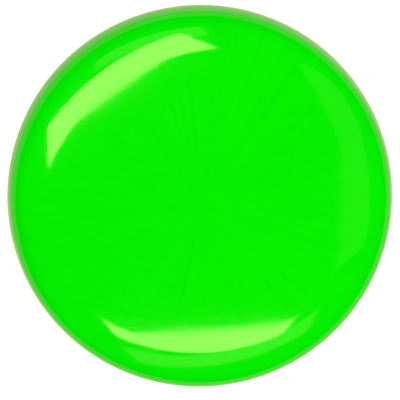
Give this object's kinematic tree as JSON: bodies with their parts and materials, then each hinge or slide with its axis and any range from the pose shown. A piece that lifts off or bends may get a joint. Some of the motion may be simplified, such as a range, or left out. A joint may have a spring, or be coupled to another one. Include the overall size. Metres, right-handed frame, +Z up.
{
  "type": "flying disc",
  "caption": "Round domed throwing disc with a smooth closed plate and a thick turned-down rim for gripping, throwing and catching.",
  "frame": {"origin": "centre of the circle that the lip stands on, on the axis of revolution", "axes": "+Z up along the axis of revolution, from the open side to the dome; +X and +Y lie in the plane of the lip, and X passes through one pin mark"},
  "size_m": [0.235, 0.235, 0.0325],
  "materials": {
    "disc_plastic": "glossy, slightly translucent fluorescent green injection-moulded plastic"
  },
  "bodies": {
    "root": {"flying_disc": "disc_plastic"}
  },
  "joints": []
}
